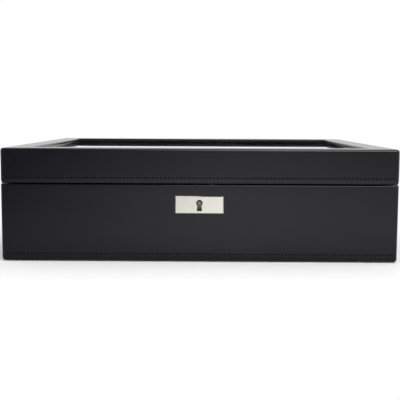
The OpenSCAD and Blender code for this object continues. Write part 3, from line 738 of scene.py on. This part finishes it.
def swollen_pillow(settings, node):
    """The mesh of one pillow: a smaller copy of its solid, swollen, with a seam at each side."""
    low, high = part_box(node)
    middle = (low + high) / 2
    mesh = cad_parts[node].data.copy()
    mesh.transform(Matrix.Translation(-middle))
    mesh.transform(Matrix.Scale(settings.start, 4))
    bm = bmesh.new()
    bm.from_mesh(mesh)
    bmesh.ops.remove_doubles(bm, verts=bm.verts, dist=MERGE)
    bm.to_mesh(mesh)
    bm.free()
    obj = bpy.data.objects.new("pillow_form", mesh)
    bpy.context.scene.collection.objects.link(obj)
    remesh = obj.modifiers.new("even mesh", "REMESH")
    remesh.mode = "VOXEL"
    remesh.voxel_size = settings.voxel
    settle(obj)
    swell(obj, settings)
    smooth = obj.modifiers.new("smooth", "SUBSURF")
    smooth.levels = 1
    smooth.render_levels = 1
    settle(obj)
    sew_seams(obj, settings, (high - low) / 2)
    pillow = obj.data
    bpy.data.objects.remove(obj)
    return pillow


def settle(obj):
    """Applies an object's modifiers to its mesh."""
    graph = bpy.context.evaluated_depsgraph_get()
    obj.data = bpy.data.meshes.new_from_object(obj.evaluated_get(graph))
    obj.modifiers.clear()


def swell(obj, settings):
    """Swells a closed mesh as cloth under pressure, no further than the settings allow."""
    rest = [v.co.copy() for v in obj.data.vertices]
    cloth = obj.modifiers.new("filling", "CLOTH")
    cloth.settings.use_pressure = True
    cloth.settings.uniform_pressure_force = settings.pressure
    cloth.settings.effector_weights.gravity = 0.0
    cloth.point_cache.frame_end = settings.frames
    for step in range(1, settings.frames + 1):
        bpy.context.scene.frame_set(step)
    settle(obj)
    bpy.context.scene.frame_set(1)
    for vert, start in zip(obj.data.vertices, rest):
        move = vert.co - start
        if move.length > settings.travel:
            vert.co = start + move.normalized() * settings.travel


def sew_seams(obj, settings, half):
    """Draws a sewn seam in round each side of a pillow, and keeps it inside its solid's box."""
    bm = bmesh.new()
    bm.from_mesh(obj.data)
    for side in (-1, 1):
        line = side * (half.x - settings.seam_inset)
        for step in (-1, 0, 1):
            bisect(bm, bm.faces[:], Vector((line + step * settings.seam_depth, 0, 0)), Vector((1, 0, 0)))
        bm.normal_update()
        for vert in [v for v in bm.verts if abs(v.co.x - line) < TINY]:
            vert.co -= vert.normal * settings.seam_depth
    for vert in bm.verts:
        vert.co = [max(-reach, min(reach, c)) for c, reach in zip(vert.co, half)]
    bm.to_mesh(obj.data)
    bm.free()


# Stage

def seen(tree):
    """1 for camera, glossy and transmission rays, which see the backdrop, and 0 for the rest."""
    path = add_node(tree, "LightPath").outputs
    either = add_node(
        tree, "Math", {0: path["Is Camera Ray"], 1: path["Is Glossy Ray"]}, operation="MAXIMUM")
    every = add_node(
        tree, "Math", {0: either.outputs["Value"], 1: path["Is Transmission Ray"]}, operation="MAXIMUM")
    return every.outputs["Value"]


def flat_sheet(name, size, place, facing, material):
    """A flat sheet of the stage, facing a direction."""
    bm = bmesh.new()
    bmesh.ops.create_grid(bm, x_segments=1, y_segments=1, size=0.5)
    bmesh.ops.scale(bm, vec=(size[0], size[1], 1), verts=bm.verts)
    turn = Vector(facing).to_track_quat("Z", "Y").to_matrix()
    bmesh.ops.rotate(bm, matrix=turn, verts=bm.verts)
    bmesh.ops.translate(bm, vec=place, verts=bm.verts)
    sheet = make_object(name, bm, material)
    return sheet


def lay_floor(settings):
    # White background paper: matt, and pure white from a short way off. Close to the box it has only
    # the light that falls on it, so that the box's shadow lies on it.
    material, tree, shader, place = start_material(
        "White background paper", Roughness=1.0, Specular_IOR_Level=0.0)
    mottle = noise(tree, place, 300 * MM)
    tone = mix_colours(tree, mottle, linear("efefef"), settings.floor)
    link_shader(tree, shader, Base_Color=tone)
    half = (CAD_BOX[1] - CAD_BOX[0]) / 2
    across = add_node(tree, "VectorMath", {0: place}, operation="ABSOLUTE")
    past = add_node(tree, "VectorMath", {0: across.outputs["Vector"], 1: half}, operation="SUBTRACT")
    beyond = add_node(tree, "VectorMath", {0: past.outputs["Vector"]}, operation="MAXIMUM")
    away = add_node(tree, "VectorMath", {0: beyond.outputs["Vector"]}, operation="LENGTH")
    clear = add_node(
        tree, "MapRange", {"Value": away.outputs["Value"], "From Max": settings.shadow_reach},
        interpolation_type="SMOOTHSTEP")
    share = add_node(tree, "Math", {0: seen(tree), 1: clear.outputs["Result"]}, operation="MULTIPLY")
    glow = add_node(tree, "Emission")
    mix_surfaces(tree, share.outputs["Value"], shader.outputs["BSDF"], glow.outputs["Emission"])
    flat_sheet("floor", FLOOR_SIZE, (0, 0, -FLOOR_GAP), (0, 0, 1), material)


def light_room(scene, settings):
    """White all round for the camera and the reflections, and a plain even light for the rest."""
    scene.world = bpy.data.worlds.new("White room")
    scene.world.use_nodes = True
    tree = scene.world.node_tree
    strength = remap(tree, seen(tree), To_Min=settings.room_light, To_Max=1.0)
    background = tree.nodes["Background"]
    background.inputs["Color"].default_value = linear("ffffff")
    tree.links.new(strength, background.inputs["Strength"])


def hang_lamp(lamp):
    """A square softbox that faces the middle of the box and does not show in it."""
    data = bpy.data.lights.new(lamp.name, "AREA")
    data.size = lamp.size
    data.energy = lamp.power
    obj = bpy.data.objects.new(lamp.name, data)
    obj.location = lamp.place
    obj.visible_glossy = False
    obj.visible_transmission = False
    aim = (CAD_BOX[0] + CAD_BOX[1]) / 2 - Vector(lamp.place)
    obj.rotation_euler = aim.to_track_quat("-Z", "Y").to_euler()
    bpy.context.scene.collection.objects.link(obj)


def stand_card(card):
    """A glowing card, a painted reflection that shows in soft reflections, not in smooth glass, with its
    painted tones stepping evenly from left to right.
    """
    material, tree, shader, place = start_material(card.name)
    across = add_node(tree, "SeparateXYZ", {"Vector": place}).outputs["X"]
    tone = linear(card.tones[0])
    steps = len(card.tones) - 1
    for i in range(steps):
        start = card.place[0] + card.size[0] * (i / steps - 0.5)
        share = remap(tree, across, From_Min=start, From_Max=start + card.size[0] / steps)
        tone = mix_colours(tree, share, tone, linear(card.tones[i + 1]))
    # Painted reflection: the card glows, though it is no lamp
    glow = add_node(tree, "Emission", {"Color": tone, "Strength": card.glow})
    clear = add_node(tree, "BsdfTransparent")
    mirrored = add_node(tree, "LightPath").outputs["Is Singular Ray"]
    mix_surfaces(tree, mirrored, glow.outputs["Emission"], clear.outputs["BSDF"])
    tree.nodes.remove(shader)
    sheet = flat_sheet(card.name, card.size, card.place, card.facing, material)
    sheet.visible_camera = False
    sheet.visible_diffuse = False
    sheet.visible_transmission = False
    sheet.visible_shadow = False


def set_camera(scene, settings):
    """The camera, straight in front of the box and a little above it."""
    data = bpy.data.cameras.new("camera")
    data.sensor_width = SENSOR
    data.lens = settings.lens
    camera = bpy.data.objects.new("camera", data)
    camera.matrix_world = (
        Matrix.Translation(settings.place)
        @ Matrix.Rotation(settings.yaw, 4, "Z")
        @ Matrix.Rotation(math.pi / 2 - settings.pitch, 4, "X")
        @ Matrix.Rotation(settings.roll, 4, "Z"))
    scene.collection.objects.link(camera)
    scene.camera = camera


# Operators

class WATCHBOX_OT_leather(Operator):
    """Wrap the base and the lid in leather"""
    bl_idname = "watchbox.leather"
    bl_label = "Leather wraps"

    def execute(self, context):
        settings = context.scene.watchbox_leather
        stitches = context.scene.watchbox_stitching
        material = leather_material(settings)
        piece(base_wrap(settings, stitches, material), "base", "black_leather", "base_leather")
        piece(lid_wrap(settings, stitches, material), "lid", "black_leather", "lid_leather")
        return {"FINISHED"}


class WATCHBOX_OT_stitching(Operator):
    """Sew a line of stitches round the base and round the lid"""
    bl_idname = "watchbox.stitching"
    bl_label = "Stitching"

    def execute(self, context):
        settings = context.scene.watchbox_stitching
        material = thread_material(settings)
        base_level = BASE_LOW.z + settings.base_rise
        lid_level = LID_LOW.z + settings.lid_rise
        base_line = stitch_line("base_stitching", BASE_LOW, BASE_HIGH, base_level, settings, material)
        lid_line = stitch_line("lid_stitching", LID_LOW, LID_HIGH, lid_level, settings, material)
        piece(base_line, "base", "stitch_thread")
        piece(lid_line, "lid", "stitch_thread")
        return {"FINISHED"}


class WATCHBOX_OT_window(Operator):
    """Fit the glass in the lid"""
    bl_idname = "watchbox.window"
    bl_label = "Window glass"

    def execute(self, context):
        settings = context.scene.watchbox_hardware
        glass = glass_material(settings)
        pane = softened("lid_glass", "window_pane", settings.glass_edge, ARRIS_STEPS, glass)
        piece(pane, "lid", "window_glass", "lid_glass")
        return {"FINISHED"}


class WATCHBOX_OT_hardware(Operator):
    """Finish the lock and the hinges"""
    bl_idname = "watchbox.hardware"
    bl_label = "Lock and hinges"

    def execute(self, context):
        settings = context.scene.watchbox_hardware
        nickel = nickel_material(settings)
        plate = softened("lock_plate", "lock_face_plate", settings.plate_edge, PLATE_STEPS, nickel)
        piece(plate, "base", "polished_nickel", "lock_plate")
        dress(HINGE_NODES, nickel)
        dress(("lock_spring", "lock_screws", "lock_strike", "strike_screws"), nickel)
        dress(("lock_case", "lock_cover", "lock_bolt", "lock_drill_pin"), steel_material(settings))
        return {"FINISHED"}


class WATCHBOX_OT_lining(Operator):
    """Line the base and the lid, and set the dividers"""
    bl_idname = "watchbox.lining"
    bl_label = "Lining and dividers"

    def execute(self, context):
        settings = context.scene.watchbox_lining
        suede = suede_material(
            "Charcoal suede lining", settings.nap, settings.brushing, settings.dark, settings.light)
        for node in LINING_NODES + DIVIDER_NODES:
            cloth = softened(node, f"suede_{node}", settings.edge, SUEDE_STEPS, suede)
            piece(cloth, "base", "suede_lining", node)
        cloth = softened("lid_lining", "suede_lid_lining", settings.edge, SUEDE_STEPS, suede)
        piece(cloth, "lid", "suede_lining", "lid_lining")
        dress(("glass_beads",), suede)
        felt = felt_material(settings)
        pad = softened("underside_felt", "felt_pad", settings.edge / 2, FELT_STEPS, felt)
        piece(pad, "base", "felt", "underside_felt")
        return {"FINISHED"}


class WATCHBOX_OT_pillows(Operator):
    """Fill every compartment with a padded pillow"""
    bl_idname = "watchbox.pillows"
    bl_label = "Watch pillows"

    def execute(self, context):
        settings = context.scene.watchbox_pillows
        lining = context.scene.watchbox_lining
        suede = suede_material(
            "Grey suede pillow cover", lining.nap, lining.brushing, settings.dark, settings.light)
        form = swollen_pillow(settings, PILLOW_NODES[0])
        form.materials.clear()
        form.materials.append(suede)
        form.polygons.foreach_set("use_smooth", [True] * len(form.polygons))
        # Every second pillow is turned round, so that it differs from its neighbours
        for i, node in enumerate(PILLOW_NODES):
            low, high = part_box(node)
            mesh = form.copy()
            mesh.transform(Matrix.Rotation((i % 2) * math.pi, 4, "Z"))
            mesh.transform(Matrix.Translation((low + high) / 2))
            pillow = bpy.data.objects.new(node.replace("watch_pillow", "pillow_cover"), mesh)
            context.scene.collection.objects.link(pillow)
            piece(pillow, node, "pillow_cover", node)
        return {"FINISHED"}


class WATCHBOX_OT_boards(Operator):
    """Finish the boards that the leather and the lining hide"""
    bl_idname = "watchbox.boards"
    bl_label = "Boards"

    def execute(self, context):
        dress(BOARD_NODES, board_material(context.scene.watchbox_hardware))
        return {"FINISHED"}


class WATCHBOX_OT_stage(Operator):
    """Set the floor, the lamps and the camera"""
    bl_idname = "watchbox.stage"
    bl_label = "Stage"

    def execute(self, context):
        settings = context.scene.watchbox_stage
        context.scene.view_settings.view_transform = "Standard"
        lay_floor(settings)
        light_room(context.scene, settings)
        for lamp in LAMPS:
            hang_lamp(lamp)
        for card in CARDS:
            stand_card(card)
        set_camera(context.scene, settings)
        return {"FINISHED"}


class WATCHBOX_PT_panel(Panel):
    """The steps that make the box, and what they use"""
    bl_idname = "WATCHBOX_PT_panel"
    bl_label = "Watch box"
    bl_space_type = "VIEW_3D"
    bl_region_type = "UI"
    bl_category = "Watch box"

    def draw(self, context):
        for operator in OPERATORS:
            self.layout.operator(operator.bl_idname)
        for name, group in SETTINGS.items():
            box = self.layout.box()
            box.label(text=group.__doc__)
            for field in group.__annotations__:
                box.prop(getattr(context.scene, name), field)


SETTINGS = {
    "watchbox_leather": LeatherSettings,
    "watchbox_stitching": StitchSettings,
    "watchbox_lining": LiningSettings,
    "watchbox_pillows": PillowSettings,
    "watchbox_hardware": HardwareSettings,
    "watchbox_stage": StageSettings,
}
OPERATORS = (
    WATCHBOX_OT_leather,
    WATCHBOX_OT_stitching,
    WATCHBOX_OT_window,
    WATCHBOX_OT_hardware,
    WATCHBOX_OT_lining,
    WATCHBOX_OT_pillows,
    WATCHBOX_OT_boards,
    WATCHBOX_OT_stage,
)
CLASSES = (*SETTINGS.values(), *OPERATORS, WATCHBOX_PT_panel)


def register():
    for made in CLASSES:
        bpy.utils.register_class(made)
    for name, group in SETTINGS.items():
        setattr(bpy.types.Scene, name, PointerProperty(type=group))


def unregister():
    for name in SETTINGS:
        delattr(bpy.types.Scene, name)
    for made in reversed(CLASSES):
        bpy.utils.unregister_class(made)


def main():
    register()
    bpy.ops.watchbox.leather()
    bpy.ops.watchbox.stitching()
    bpy.ops.watchbox.window()
    bpy.ops.watchbox.hardware()
    bpy.ops.watchbox.lining()
    bpy.ops.watchbox.pillows()
    bpy.ops.watchbox.boards()
    bpy.ops.watchbox.stage()


if __name__ == "__main__":
    main()
